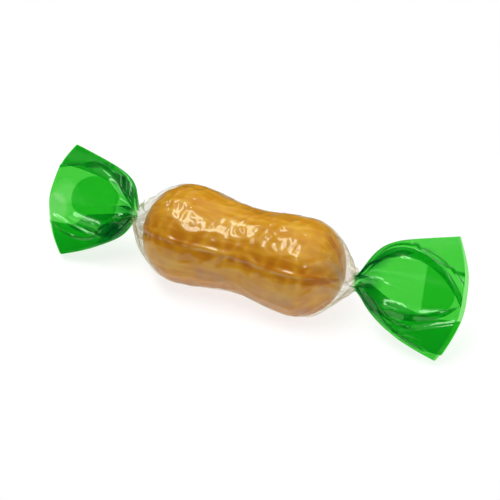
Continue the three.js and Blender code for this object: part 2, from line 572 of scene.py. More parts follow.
@dataclass(frozen=True)
class Outline:
    """The peanut's outline: two lobes on one axis, with a waist between them."""

    left_lobe: float = 7.6
    right_lobe: float = 7.45
    spacing: float = 19.0
    waist: float = 1.05
    lift: float = 0.35

    @property
    def half_spacing(self) -> float:
        """Distance from the middle to a lobe's centre."""
        return self.spacing / 2

    def lobe(self, x: Grid | float) -> Grid | float:
        """Radius of the lobe at this end, blended evenly along the middle."""
        share = np.clip(x / self.spacing + 0.5, 0.0, 1.0)
        return lerp(self.left_lobe, self.right_lobe, share)

    def axis(self, x: Grid | float) -> Grid | float:
        """Height of the candy's axis, so that both lobes lie on the floor."""
        return self.lobe(x) + self.lift

    def radius(self, x: Grid, margin: float, end_share: float = 1.0) -> Grid:
        """Radius of the outline grown by a margin.

        Args:
            x: Distance along the candy from its middle.
            margin: How far the outline is grown.
            end_share: How long the ends beyond the lobes' centres are, as a share of a
                round end's length.

        Returns:
            The lobes' radius less a cosine waist between their centres, and a quarter
            circle or ellipse beyond them.
        """
        grown = self.lobe(x) + margin
        beyond = np.maximum(np.abs(x) - self.half_spacing, 0.0) / end_share
        inside = np.clip(np.abs(x) / self.half_spacing, 0.0, 1.0)
        waist = self.waist * (1 + np.cos(math.pi * inside)) / 2
        ends = np.sqrt(np.maximum(grown**2 - beyond**2, 0.0))
        return np.where(beyond > 0, ends, grown - waist)


@dataclass
class SugarPeanut:
    """The candy: the peanut outline with a parting crease and a low net of ribs."""

    outline: Outline
    shift: float
    proud: float = 0.2
    end_share: float = 0.9
    flat_spot: float = 0.12
    columns: int = 300
    rows: int = 300
    crease_angle: float = math.radians(153)
    crease_height: float = 0.17
    crease_width: float = 0.34
    groove_depth: float = 0.12
    groove_offset: float = 0.75
    groove_width: float = 0.476
    second_seam: float = 1.7
    second_share: float = 0.3
    ribs: int = 16
    rib_width: float = 0.55
    rib_waves: Waves = ((1.0, 2.3, 0, 1.0), (0.7, 1.1, 2, 0.0))
    wander: float = 0.08
    rung_pitch: float = 2.5
    rung_width: float = 0.6
    rung_share: float = 0.85
    rung_waves: Waves = ((0.14, 1.0, 7, 0.0), (0.2, 1.9, 0, 0.0))
    lane_step: float = 0.5
    lane_jitter: float = 0.13
    lane_rate: float = 5.1
    pit_depth: float = 0.17
    pit_fade: Span = (1.5, 5.5)
    seam_fade: Span = (0.3, 2.5)
    # Painted shade: the band along the crease, the pits and the underside deepen the amber by these
    # tints and spans.
    band_width: float = 1.9
    crease_shade_tint: float = 0.15
    pit_tint: float = 0.15
    band_pit_tint: float = 0.7
    underside_shade_span: Span = (0.0, 5.5)
    end_span: Span = (12.0, 14.5)
    end_streaks: tuple[tuple[int, float], ...] = ((5, 1.0), (9, 2.3), (14, 0.5))
    end_streak_span: Span = (0.4, 1.4)
    end_streak_tint: float = 0.8
    grain: Crumple = Crumple(12, 9, 0.5, 1.2, 4.0, stretch=7.0, sharpness=0.2)
    lumps: Crumple = Crumple(seed=11, waves=6, height=0.03, shortest=3, longest=9)

    def net(self, x: Grid, angle: Grid, radius: Grid) -> Grid:
        """How deep a place lies in the pits of the net, 0 on its ribs and 1 in a pit.

        Lengthwise ribs wander a little round the candy, and cross ribs step along by half
        a pitch from one lane to the next. Each rib is a bell curve of its distance.

        Args:
            x: Distance along the candy.
            angle: Angle round it, from +Y to +Z.
            radius: The outline's radius there.

        Returns:
            The product of one less each rib's bell curve.
        """
        drift = self.wander * wavy(x, angle, self.rib_waves)
        lane = self.ribs * (angle - self.crease_angle + drift) / TURN
        from_rib = np.abs(lane - np.round(lane)) * TURN * radius / self.ribs
        number = np.floor(lane)
        step = number * self.lane_step + self.lane_jitter * np.sin(self.lane_rate * number)
        rung = x / self.rung_pitch + np.mod(step, 1.0) + wavy(x, angle, self.rung_waves)
        from_rung = np.abs(rung - np.round(rung)) * self.rung_pitch
        rung_bell = self.rung_share * bell(from_rung, self.rung_width)
        return (1 - bell(from_rib, self.rib_width)) * (1 - rung_bell)

    def from_crease(self, angle: Grid, radius: Grid) -> Grid:
        """Distance round the candy from its parting crease, positive below it."""
        off = np.sin(angle - self.crease_angle) * radius
        return np.where(np.cos(angle - self.crease_angle) > 0, off, -off)

    def crease(self, angle: Grid, radius: Grid) -> Grid:
        """Height of the parting crease: a fine raised seam with a groove just below it.

        A second, lower seam runs above the first, as on a mould with a stepped edge.

        Args:
            angle: Angle round the candy, from +Y to +Z.
            radius: The outline's radius there.

        Returns:
            A bell curve up on each seam, less a wider one in the groove, on both sides.
        """
        off = self.from_crease(angle, radius)
        seams = bell(off, self.crease_width)
        seams = seams + self.second_share * bell(off + self.second_seam, self.crease_width)
        groove = self.groove_depth * bell(off - self.groove_offset, self.groove_width)
        return self.crease_height * seams - groove

    def relief(self, x: Grid, angle: Grid, radius: Grid) -> tuple[Grid, Grid]:
        """The pits' share of their depth and the seam's height, both faded at the tips."""
        pits = self.net(x, angle, radius) * smoothstep(radius, *self.pit_fade)
        return pits, self.crease(angle, radius) * smoothstep(radius, *self.seam_fade)

    def surface(self, x: Grid, angle: Grid, radius: Grid) -> Grid:
        """Radius of the candy's surface.

        Args:
            x: Distance along the candy.
            angle: Angle round it, from +Y to +Z.
            radius: The outline's radius there.

        Returns:
            The outline's radius, with pits, seams and slight lumps.
        """
        pits, seam = self.relief(x, angle, radius)
        uneven = self.lumps.height_at(x, radius * np.cos(angle), radius * np.sin(angle))
        return radius - self.pit_depth * pits + seam + uneven * smoothstep(radius, *self.pit_fade)

    def round_radius(self, x: Grid) -> Grid:
        """Radius of the candy at x without its relief."""
        return self.outline.radius(x, self.proud, self.end_share)

    def row_places(self) -> Grid:
        """Where the rows stand along the candy.

        Returns:
            The x of rows spaced evenly along the outline's meridian, a straight middle and
            a quarter circle at each end, squeezed lengthwise by the ends' share.
        """
        shape = self.outline
        quarter = math.pi / 2 * ((shape.left_lobe + shape.right_lobe) / 2 + self.proud)
        half = shape.half_spacing + quarter
        travelled = np.linspace(-half, half, self.rows + 2)[1:-1, None]
        on_end = np.clip((np.abs(travelled) - shape.half_spacing) / quarter, 0.0, 1.0)
        reach = (shape.lobe(travelled) + self.proud) * np.sin(on_end * math.pi / 2)
        straight = np.clip(travelled, -shape.half_spacing, shape.half_spacing)
        return straight + np.sign(travelled) * reach * self.end_share

    def tips(self) -> Grid:
        """The points at the two ends of the candy, on its axis.

        Returns:
            Two points, each beyond a lobe's centre by the lobe's radius times end_share.
        """
        ends = np.array([-self.outline.spacing, self.outline.spacing])
        beyond = (self.outline.lobe(ends) + self.proud) * self.end_share
        reach = np.sign(ends) * (self.outline.half_spacing + beyond)
        return np.stack([reach, 0 * ends, self.outline.axis(ends)], axis=-1)

    def build(self) -> Piece:
        """Builds the mesh.

        Returns:
            The candy, closed by a point at each tip, with its painted shade and grain stored
            on its points for its material.
        """
        x = self.row_places()
        angle = np.linspace(0, TURN, self.columns, endpoint=False)[None, :]
        radius = self.round_radius(x)
        height = self.surface(x, angle, radius)
        z = self.outline.axis(x) + height * np.sin(angle)
        points = np.stack(np.broadcast_arrays(x, height * np.cos(angle), z), axis=-1)
        flat = np.concatenate([points.reshape(-1, 3), self.tips()])
        flat[:, 2] = np.maximum(flat[:, 2], self.outline.lift - self.proud + self.flat_spot)
        index = point_index(self.rows, self.columns, closed=True)
        start, end = rim_edges(index, closed=True).T
        tip = np.repeat([len(flat) - 2, len(flat) - 1], self.columns)
        caps = np.stack([tip, start, end], axis=-1)
        piece = mesh_object("sugar_peanut", flat, [grid_quads(index), caps], self.shift)
        # painted shade and grain, stored on the points for the material
        shade_and_grain = self.painted_shade_and_grain(x, angle, radius)
        set_attribute(piece, "shade_and_grain", np.append(np.clip(shade_and_grain, 0, 1).ravel(), [0.0, 0.0]))
        return piece

    def painted_shade_and_grain(self, x: Grid, angle: Grid, radius: Grid) -> Grid:
        """How much deeper the amber is: painted shade, dark end streaks and the sugar's grain.

        Args:
            x: Distance along the candy.
            angle: Angle round it, from +Y to +Z.
            radius: The outline's radius there.

        Returns:
            Painted shade in the pits and in a band along the crease, painted shade that
            rises to the underside, the sugar's own lengthwise grain, and dark streaks at
            both ends where a sum of waves round the candy is high.
        """
        pits, _ = self.relief(x, angle, radius)
        band = bell(self.from_crease(angle, radius), self.band_width)
        # painted shade in the pits and in a band along the crease
        shade_and_grain = pits * (self.pit_tint + self.band_pit_tint * band) + self.crease_shade_tint * band
        y, z = radius * np.cos(angle), radius * np.sin(angle)
        # painted shade, deepening towards the underside
        under = smoothstep(-z, *self.underside_shade_span)
        grain = np.maximum(self.grain.height_at(x, y, z), 0.0)
        waves = sum(np.sin(count * angle + phase) for count, phase in self.end_streaks)
        ends = smoothstep(np.abs(x), *self.end_span) * smoothstep(waves, *self.end_streak_span)
        return shade_and_grain + under + grain + self.end_streak_tint * ends

    def dress(self, piece: Piece, finish: Material) -> None:
        """Gives the candy its finish and its place in the frame.

        Args:
            piece: The candy.
            finish: Its material.
        """
        piece.data.materials.append(finish)
        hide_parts("candy")
        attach(piece, "root")


# ---- The film ----


@dataclass(frozen=True)
class Fold:
    """A fold that runs out from the neck: three layers of film along a curved line.

    The line's place is a share of the fan's half width, at the neck, at the middle of the
    fan and at the cut edge.
    """

    face: Face
    places: Triple
    start: float
    end: float
    layer: float
    pull: float = 1.5
    rise: float = 0.2
    growth: float = 0.08
    decline: float = 0.2

    def place(self, share: Grid) -> Grid:
        """The fold's place across the fan: a parabola through its three places."""
        neck, middle, edge = self.places
        return neck + (-3 * neck + 4 * middle - edge) * share + 2 * (neck - 2 * middle + edge) * share**2

    def offset(self, angle: Grid, share: Grid, side_share: float) -> tuple[Grid, Grid]:
        """How far the fold pulls the film round and lifts it.

        With q from -1 to 1 across a window of the layer's own width, both follow
        sin(pi q) (1 - q²), so the film runs forward, back and forward again, each pass
        above the one before.

        Args:
            angle: The film's own angle round the section.
            share: Share of the way from the neck to the cut edge.
            side_share: Share of the section that its round sides take.

        Returns:
            The pull in radians and the lift in millimetres.
        """
        quarter = math.pi / 2 * (1 - (1 - side_share) * self.place(share))
        centre = quarter if self.face is Face.FRONT else TURN - quarter
        q = np.clip((angle - centre) / self.layer, -1.0, 1.0)
        wave = np.sin(math.pi * q) * (1 - q * q)
        grown = smoothstep(share, self.start, self.start + self.growth)
        grown = grown * (1 - smoothstep(share, self.end - self.decline, self.end))
        return -self.pull * self.layer * grown * wave, self.rise * grown * wave


@dataclass(frozen=True)
class Ridge:
    """A straight crease across a fan's front: the film slopes away on both sides of it."""

    start: Place
    end: Place
    height: float
    above: float
    below: float
    steepness: float = 1.5
    outside: float = 1.2
    inside: float = 0.8

    def height_at(self, along: Grid, across: Grid) -> Grid:
        """A lopsided tent over the line: full height on it, falling to 0 on each side.

        It falls straight below the line, and steeply at first, then ever more gently, above.

        Args:
            along: Distance out from the neck.
            across: Distance across the fan.

        Returns:
            The height, fading over the line's ends.
        """
        dx, dy = self.end[0] - self.start[0], self.end[1] - self.start[1]
        length = math.hypot(dx, dy)
        u = ((along - self.start[0]) * dx + (across - self.start[1]) * dy) / length
        v = ((across - self.start[1]) * dx - (along - self.start[0]) * dy) / length
        gentle = np.clip(1 - v / self.above, 0.0, 1.0) ** self.steepness
        straight = np.clip(1 + v / self.below, 0.0, 1.0)
        tent = np.where(v > 0, gentle, straight)
        rising = smoothstep(u, -self.outside, self.inside)
        ending = smoothstep(u, length - self.inside, length + self.outside)
        return self.height * tent * rising * (1 - ending)


@dataclass(frozen=True)
class PaleSheenPatch:
    """A patch of a fan painted paler, a painted sheen where tilted facets would reflect light, placed on
    the flat sheet.

    Its place and half sizes are shares of the way out from the neck, and of the half
    width across.
    """

    place: Place
    size: Span
    depth: float
    rim: float = 0.2
    valley: float = 0.5
    wrinkle_span: Span = (-0.25, 0.1)

    def sheen_paleness(self, share: Grid, own: Grid, wrinkles: Grid) -> Grid:
        """How much of its green the painted sheen takes away.

        Args:
            share: Share of the way from the neck to the cut edge.
            own: The film's own place across the flat sheet, -1 to 1.
            wrinkles: The crumple's height there, -1 to 1.

        Returns:
            The depth over an ellipse with a short soft rim, halved in the wrinkles' valleys.
        """
        out, across = self.place
        half_out, half_across = self.size
        reach = np.hypot((share - out) / half_out, (own - across) / half_across)
        patch = smoothstep(1 - reach, 0.0, self.rim)
        return self.depth * patch * lerp(self.valley, 1.0, smoothstep(wrinkles, *self.wrinkle_span))


@dataclass(frozen=True)
class Tuck:
    """A flap of the sheet that is tucked into a fan's round pocket, with one straight side.

    It fills an ellipse of half sizes along and across the fan, beyond a straight line at
    the distance cut from the ellipse's middle, which leans over by the slope lean. Its arc
    stops a little short of the line's ends.
    """

    size: Span
    cut: float
    lean: float
    depth: float = 0.45
    arc_share: float = 0.96
    rows: int = 30
    columns: int = 90

    def places(self) -> tuple[Grid, Grid]:
        """Places over the flap, from its straight side to its arc.

        Returns:
            Distances along and across the fan from the ellipse's middle, rows from the
            straight side to the arc by columns from one corner to the other.
        """
        half_along, half_across = self.size
        corner = math.acos(self.cut / half_along)
        turn = np.linspace(-1, 1, self.columns)[None, :]
        out = np.linspace(0, 1, self.rows)[:, None]
        chord = half_across * math.sin(corner) * turn
        arc = self.arc_share * corner * turn
        along = lerp(self.cut + self.lean * chord, half_along * np.cos(arc), out)
        return along, lerp(chord, half_across * np.sin(arc), out)


@dataclass(frozen=True)
class Fan:
    """One flared end of the wrapper, with its folds, creases and round pocket.

    Places and spans are distances out from the neck and across the fan.
    """

    side: Side
    length: float
    bulge: float
    skew: float
    half_width: float
    shift: float
    sway: float
    funnel: float
    phase: float
    pocket: Place
    pocket_size: Span
    pocket_depth: float
    green_start: Span
    folds: tuple[Fold, ...]
    ridges: tuple[Ridge, ...]
    tuck: Tuck
    crumple: dict[Face, Crumple]
    # patches painted paler as sheen
    pale_sheen_patches: tuple[PaleSheenPatch, ...] = ()
    sway_share: float = 0.2
    wave_height: float = 0.15
    waves: float = 1.4
    crumple_span: Span = (0.5, 3.0)
    edge_calm: float = 0.6
    edge_calm_start: float = 9.0
    pocket_calm: float = 0.8
    pocket_calm_rise: float = 3.0
    ridge_fade: Span = (0.0, 0.3)

    def middle(self, share: Grid) -> Grid:
        """The middle across the fan: an even shift, and a sway that is widest at sway_share."""
        swayed = share / self.sway_share
        return self.shift * share + self.sway * swayed * np.exp(1 - swayed)

    def wave(self, share: Grid, relative: Grid) -> Grid:
        """The slow wave across the fan that both its faces follow, growing to the cut edge."""
        return self.wave_height * share * np.sin(TURN * self.waves * relative + self.phase)

    def greenness(self, beyond_neck: Grid) -> Grid:
        """How green the film is at a distance beyond the neck, from 0, clear, to 1."""
        return smoothstep(beyond_neck, *self.green_start)

    def pocket_dent(self, along: Grid, across: Grid) -> Grid:
        """Depth of the round pocket.

        Args:
            along: Distance out from the neck.
            across: Distance across the fan from the neck's line.

        Returns:
            A shallow bowl, the pocket's depth times 1 - r², with a crease all round its rim.
        """
        half_along, half_across = self.pocket_size
        out, aside = (along - self.pocket[0]) / half_along, (across - self.pocket[1]) / half_across
        return self.pocket_depth * np.maximum(1 - out**2 - aside**2, 0.0)

    def creases(self, along: Grid, across: Grid, turned: Grid) -> Grid:
        """Heights of the straight creases and the crumple on the fan's faces.

        Args:
            along: Distance out from the neck.
            across: Distance across the fan from the neck's line.
            turned: The pleated angle, which tells the faces apart.

        Returns:
            The height, faded out at the neck and at the section's round sides, and calmer
            in the pocket and towards the cut edge.
        """
        dent = self.pocket_dent(along, across)
        lively = 1 - self.edge_calm * smoothstep(along, self.edge_calm_start, self.length)
        lively = lively * (1 - self.pocket_calm * np.minimum(1.0, self.pocket_calm_rise * dent))
        lively = lively * smoothstep(along, *self.crumple_span)
        ridges = sum(ridge.height_at(along, across) for ridge in self.ridges)
        total = smoothstep(np.sin(turned), *self.ridge_fade) * ridges
        for face, crumple in self.crumple.items():
            outward = np.maximum(np.sin(turned) * face.value, 0.0)
            total = total + np.sqrt(outward) * lively * crumple.height_at(along, across)
        return total


def fan_crumple(seed: int, shortest: float, longest: float) -> Crumple:
    """The crumple on one face of a fan, its creases from shortest to longest apart."""
    return Crumple(seed, waves=7, height=0.15, shortest=shortest, longest=longest, stretch=1.8)


RIGHT_FAN = Fan(
    side=Side.RIGHT,
    length=17.2,
    bulge=2.85,
    skew=-0.55,
    half_width=9.4,
    shift=1.1,
    sway=0.95,
    funnel=0.08,
    phase=0.6,
    pocket=(9.4, 1.3),
    pocket_size=(6.2, 4.0),
    pocket_depth=0.25,
    green_start=(-0.4, 0.3),
    folds=(
        Fold(Face.FRONT, (0.54, 0.72, 0.0), 0.02, 2.0, 0.15),
        Fold(Face.FRONT, (0.90, 0.91, 0.28), 0.04, 2.0, 0.05),
        Fold(Face.FRONT, (2.34, 0.97, 0.43), 0.30, 2.0, 0.05),
        Fold(Face.FRONT, (-0.60, -0.56, -0.05), 0.02, 1.05, 0.11),
        Fold(Face.FRONT, (-0.72, -0.74, -0.45), 0.02, 0.75, 0.06),
        Fold(Face.FRONT, (-0.80, -0.92, -0.95), 0.05, 0.95, 0.06),
        Fold(Face.FRONT, (0.50, 0.60, 0.60), -0.03, 0.26, 0.2),
        Fold(Face.FRONT, (-0.76, -0.74, -0.70), -0.03, 0.42, 0.26),
        Fold(Face.BACK, (0.52, 0.72, 0.60), 0.01, 0.55, 0.12),
        Fold(Face.BACK, (-0.60, -0.70, -0.60), 0.02, 2.0, 0.46),
        Fold(Face.BACK, (-0.45, -0.60, -0.50), 0.01, 0.5, 0.16),
    ),
    ridges=(
        Ridge((8.0, -6.1), (17.2, -2.0), 0.6, 1.0, 5.5),
        Ridge((4.8, -2.2), (8.4, -2.4), 0.6, 1.2, 1.6),
        Ridge((10.6, -2.4), (14.8, -1.1), 0.5, 1.0, 1.0),
        Ridge((4.4, -3.3), (7.0, -5.4), 0.5, 1.0, 1.2),
        Ridge((5.6, 5.1), (6.8, 5.3), 0.25, 0.7, 1.0),
        Ridge((1.2, 0.6), (3.4, 1.1), 0.3, 0.8, 0.8),
    ),
    tuck=Tuck(size=(6.0, 3.9), cut=1.1, lean=-0.11),
    crumple={Face.FRONT: fan_crumple(21, 2.0, 8.0), Face.BACK: fan_crumple(22, 2.5, 9.0)},
)

LEFT_FAN = Fan(
    side=Side.LEFT,
    length=15.2,
    bulge=3.55,
    skew=1.05,
    half_width=8.65,
    shift=-0.65,
    sway=0.6,
    funnel=0.05,
    phase=2.4,
    pocket=(7.1, 0.55),
    pocket_size=(4.5, 3.8),
    pocket_depth=0.25,
    green_start=(-0.1, 0.4),
    folds=(
        Fold(Face.FRONT, (0.05, 0.88, 0.15), 0.04, 0.85, 0.10),
        Fold(Face.FRONT, (0.35, 0.95, 0.70), 0.02, 0.55, 0.07),
        Fold(Face.FRONT, (1.41, 0.97, 0.53), 0.32, 2.0, 0.055),
        Fold(Face.FRONT, (-0.20, -0.62, -0.15), 0.02, 0.85, 0.08),
        Fold(Face.FRONT, (-0.60, -0.82, -0.45), 0.04, 2.0, 0.05),
        Fold(Face.FRONT, (0.75, 0.80, 0.80), -0.03, 0.40, 0.26),
        Fold(Face.FRONT, (-0.70, -0.70, -0.70), -0.03, 0.50, 0.28),
        Fold(Face.BACK, (0.60, 0.80, 0.80), 0.03, 2.0, 0.34),
        Fold(Face.BACK, (0.50, 0.60, 0.60), 0.01, 0.5, 0.14),
        Fold(Face.BACK, (-0.50, -0.74, -0.74), 0.03, 2.0, 0.44),
        Fold(Face.BACK, (-0.70, -0.80, -0.80), 0.02, 0.75, 0.2),
        Fold(Face.BACK, (-0.50, -0.60, -0.60), 0.01, 0.5, 0.16),
    ),
    ridges=(
        Ridge((4.6, -5.2), (13.8, -3.6), 0.5, 0.7, 5.0),
        Ridge((5.2, -3.3), (10.2, -2.8), 0.6, 1.0, 1.2),
        Ridge((1.4, -1.0), (2.5, -0.8), 0.5, 0.9, 0.8),
        Ridge((2.8, 2.4), (5.2, 3.9), 0.3, 0.8, 1.0),
    ),
    tuck=Tuck(size=(4.2, 3.6), cut=-3.9, lean=0.0),
    crumple={Face.FRONT: fan_crumple(31, 2.0, 8.0), Face.BACK: fan_crumple(32, 2.5, 9.0)},
    # patches painted paler, standing in for sheen on tilted facets
    pale_sheen_patches=(
        PaleSheenPatch(place=(0.92, -0.22), size=(0.17, 0.30), depth=0.22),
        PaleSheenPatch(place=(0.84, 0.12), size=(0.14, 0.26), depth=0.16),
    ),
)


@dataclass
class TwistWrapper:
    """The sheet of film: a sleeve on the candy, two cones, two necks and two fans.

    A section of the film is followed by its own angle, 0 to one turn. Pleats pull that
    angle back and forth, so that the film overlaps itself where it is gathered, and lift
    it in step, so that the passes lie one above another.
    """

    candy: SugarPeanut
    outline: Outline
    shift: float
    margin: float = 0.17
    wall: float = 0.03
    neck_distance: float = 18.9
    neck_radius: float = 1.05
    neck_rise: tuple[float, float] = (0.8, 0.35)
    fan_tilt: float = math.radians(54)

    pleats: tuple[tuple[int, float, float], ...] = (
        (7, 1.0, math.pi / 2),
        (11, 0.55, 0.7),
        (4, 0.4, 2.1),
        (17, 0.45, 4.0),
        (29, 0.35, 1.3),
    )
    pleat_height: float = 0.3
    pleat_rise: float = 1.3
    pleat_power: float = 0.8
    neck_gather: float = 2.6
    gather_share: float = 0.5
    most_gather: float = 4.0
    twist: float = 1.5
    loose_span: Span = (0.3, 1.0)
    cling: float = 0.06
    least_radius: float = 2.0
    snug_share: float = 0.25
    snug_span: Span = (1.0, 2.6)
    broad_crumple: Crumple = Crumple(5, 9, 0.06, 2.2, 6.0, stretch=1.6, sharpness=0.6)
    fine_crumple: Crumple = Crumple(41, 16, 0.24, 0.9, 2.3, stretch=1.5, sharpness=0.3)

    flare_power: float = 0.42
    fan_swell: float = 0.35
    fan_edge: float = 0.5
    side_share: float = 0.2
    gather_ebb: Span = (0.02, 0.13)
    pleats_ebb: Span = (0.05, 0.11)
    sheet_share: float = 0.08
    lag: float = 0.4
    lag_power: int = 6

    least_wear: float = 0.25
    pleat_wear_span: Span = (-0.3, 1.2)
    cone_wear_gaps: Span = (2.5, 2.0)
    neck_clearing: float = 0.75
    neck_clearing_length: float = 1.5
    fan_wear_start: float = 2.0
    fan_wear_end: float = 4.0
    side_wear: float = 3.5
    slack: float = 0.9
    slack_span: Span = (2.0, 4.5)
    facet_span: Span = (-0.4, 0.3)

    sleeve_columns: int = 290
    sleeve_rows: int = 170
    cone_rows: int = 60
    fan_columns: int = 560
    fan_rows: int = 88
    fan_row_power: float = 1.5

    def section(self, x: Grid, across: Grid, facing: Grid) -> Grid:
        """Points of the cross-section planes at x, from their wide and facing coordinates.

        The section's middle follows the candy's axis, and rises a little to each neck.

        Args:
            x: Distance along the candy.
            across: Distance along the section's wide direction.
            facing: Distance along its facing direction, square to the wide one.

        Returns:
            Three coordinates a point, none of them below the floor.
        """
        sine, cosine = math.sin(self.fan_tilt), math.cos(self.fan_tilt)
        rise = np.where(x < 0, self.neck_rise[0], self.neck_rise[1])
        rise = rise * smoothstep(np.abs(x), self.tangent(Side.RIGHT)[0], self.neck_distance)
        y = across * cosine - facing * sine
        z = self.outline.axis(x) + rise + across * sine + facing * cosine
        return np.stack(np.broadcast_arrays(x, y, np.maximum(z, self.wall)), axis=-1)

    def tangent(self, side: Side) -> tuple[float, float]:
        """Where the film leaves the candy for the neck.

        Args:
            side: The end of the candy.

        Returns:
            The distance from the middle and the radius at which the straight line to the
            neck touches the lobe's circle.
        """
        radius = float(self.outline.lobe(side.value * self.outline.half_spacing)) + self.margin
        run = self.neck_distance - self.outline.half_spacing
        rise = math.atan2(self.neck_radius, run)
        angle = rise + math.acos(radius / math.hypot(run, self.neck_radius))
        return self.outline.half_spacing + radius * math.cos(angle), radius * math.sin(angle)

    def pleat_waves(self, angle: Grid) -> tuple[Grid, Grid]:
        """The pleats' pull and lift at the film's own angle, both of about unit size.

        Args:
            angle: The film's own angle round the section.

        Returns:
            The pull, a sum of -c sin(k angle + phase) / k over the pleats, and the lift,
            the same sum without the sign and the division.
        """
        pull = lift = 0.0
        for count, share, phase in self.pleats:
            wave = share * np.sin(count * angle + phase)
            pull = pull - wave / count
            lift = lift + wave
        return pull, lift

    def sleeve_points(self, x: Grid, angle: Grid) -> Grid:
        """The film between the necks.

        The radius follows the outline, then a straight cone to the neck. Pleats grow with
        how much the film has to gather, and twist round towards the necks. Over the candy
        the film crumples, less so at and below the parting crease, where it is snug, and
        lies on the candy wherever it would pass through it.

        Args:
            x: Distance along the candy, one row each.
            angle: The film's own angle, one column each.

        Returns:
            Rows by columns by three coordinates.
        """
        left, right = self.tangent(Side.LEFT), self.tangent(Side.RIGHT)
        start = np.where(x < 0, left[0], right[0])
        start_radius = np.where(x < 0, left[1], right[1])
        share = np.clip((np.abs(x) - start) / (self.neck_distance - start), 0.0, 1.0)
        on_candy = np.clip(x, -left[0], right[0])
        hugging = self.outline.radius(on_candy, self.margin)
        mean = np.where(share > 0, lerp(start_radius, self.neck_radius, share), hugging)
        full = self.outline.lobe(x) + self.margin
        gather = np.clip(full / mean - 1, 0.0, self.most_gather)
        pull, lift = self.pleat_waves(angle)
        height = self.pleat_height * np.minimum(1.0, self.pleat_rise * gather) ** self.pleat_power
        turned = angle + pull * self.neck_gather * np.minimum(1.0, self.gather_share * gather)
        turned = turned - self.twist * (1 - share**2) * on_candy / start

        candy_radius = self.candy.round_radius(x)
        round_angle = turned + self.fan_tilt
        above = -self.candy.from_crease(round_angle, candy_radius)
        snug = lerp(self.snug_share, 1.0, smoothstep(above, *self.snug_span))
        y, z = mean * np.cos(turned), mean * np.sin(turned)
        crumple = self.broad_crumple.height_at(x, y, z) + snug * self.fine_crumple.height_at(x, y, z)
        radius = mean + height * lift + crumple * (1 - smoothstep(share, *self.loose_span))
        steepness = self.outline.lobe(x) / np.maximum(candy_radius, self.least_radius)
        touching = self.candy.surface(x, round_angle, candy_radius)
        radius = np.maximum(radius, touching + self.cling * steepness)
        return self.section(x, radius * np.cos(turned), radius * np.sin(turned))

    def across_flat(self, angle: Grid) -> Grid:
        """Place across a flattened section, -1 to 1, level over its round sides."""
        return np.clip(triangle(angle) / (1 - self.side_share), -1.0, 1.0)

    def thickness(self, share: Grid) -> Grid:
        """Half the thickness of a fan's section, before its swell."""
        return lerp(self.neck_radius, self.fan_edge, share)

    def fan_points(self, fan: Fan, share: Grid, angle: Grid) -> Grid:
        """The film of one fan, from its neck to its cut edge.

        The section is a flat tube with round sides that opens as a power of the way out.
        The pleats of the neck run out into it and open, the named folds stay to the edge.

        Args:
            fan: The fan's sizes.
            share: Share of the way from the neck to the cut edge, one row each.
            angle: The film's own angle, one column each.

        Returns:
            Rows by columns by three coordinates.
        """
        pull, lift = self.pleat_waves(angle)
        turned = angle + pull * self.neck_gather * ebb(share, *self.gather_ebb)
        lifted = np.zeros_like(turned)
        for fold in fan.folds:
            fold_pull, fold_lift = fold.offset(angle, share, self.side_share)
            turned = turned + fold_pull
            lifted = lifted + fold_lift * fold.face.value
        flare = share**self.flare_power * (1 - np.exp(-share / fan.funnel))
        opened = lerp(self.neck_radius, fan.half_width, flare)
        thick = self.thickness(share) + self.fan_swell * np.sin(math.pi * np.sqrt(share))
        flat = np.maximum(opened - thick, 0.0)
        half = thick + self.pleat_height * ebb(share, *self.pleats_ebb) * lift
        across = flat * self.across_flat(turned) + half * np.cos(turned)
        relative = lerp(across / opened, self.across_flat(angle), self.sheet_share)
        front = np.maximum(np.sin(turned), 0.0)
        along = share * (fan.length - fan.bulge * relative**2 + fan.skew * relative)
        along = along - self.lag * share**self.lag_power * front
        across = across + fan.middle(share)
        facing = half * np.sin(turned) + fan.wave(share, relative) + lifted
        facing = facing - front * fan.pocket_dent(along, across)
        facing = facing + fan.creases(along, across, turned)
        x = fan.side.value * (self.neck_distance + along)
        return self.section(x, across, facing)

    def pleat_wear(self, angle: Grid) -> Grid:
        """How worn the pleats are: most on their crests, least in their valleys."""
        crest = smoothstep(self.pleat_waves(angle)[1], *self.pleat_wear_span)
        return lerp(self.least_wear, 1.0, crest)

    def sagging(self, x: Grid, points: Grid) -> Grid:
        """How worn the film looks below the candy's parting crease, where it hangs slack.

        Args:
            x: Distance along the candy, one row each.
            points: The film's points.

        Returns:
            A rise with the distance below the crease, in facets that follow the crumple.
        """
        y, z = points[..., 1], points[..., 2] - self.outline.axis(x)
        below = self.candy.from_crease(np.arctan2(z, y), np.hypot(y, z))
        facets = self.broad_crumple.height_at(x, y, z) / self.broad_crumple.height
        return self.slack * smoothstep(below, *self.slack_span) * smoothstep(facets, *self.facet_span)

    def film_shell(self, name: str, points: Grid, closed: bool, **marks: Grid) -> Piece:
        """Makes a piece of film as a closed thin shell round a grid of points.

        Args:
            name: The piece's name.
            points: The film's mid surface, rows by columns.
            closed: True for a tube, whose columns close on themselves.
            marks: A value a point, the same on both sides, stored under each name.

        Returns:
            The piece: two faces half a wall from the mid surface, joined by a rim at each
            cut edge.
        """
        rows, columns = points.shape[:2]
        count = rows * columns
        index = point_index(rows, columns, closed)
        outer = grid_quads(index)
        inner = outer[:, ::-1] + count
        start, end = rim_edges(index, closed).T
        rim = np.stack([start, end, end + count, start + count], axis=-1)
        half_wall = surface_normals(points, closed) * self.wall / 2
        both = np.concatenate([points + half_wall, points - half_wall])
        piece = mesh_object(name, both, [outer, inner, rim], self.shift)
        for mark, values in marks.items():
            side = np.broadcast_to(values, (rows, columns))
            set_attribute(piece, mark, np.concatenate([side, side]))
        return piece

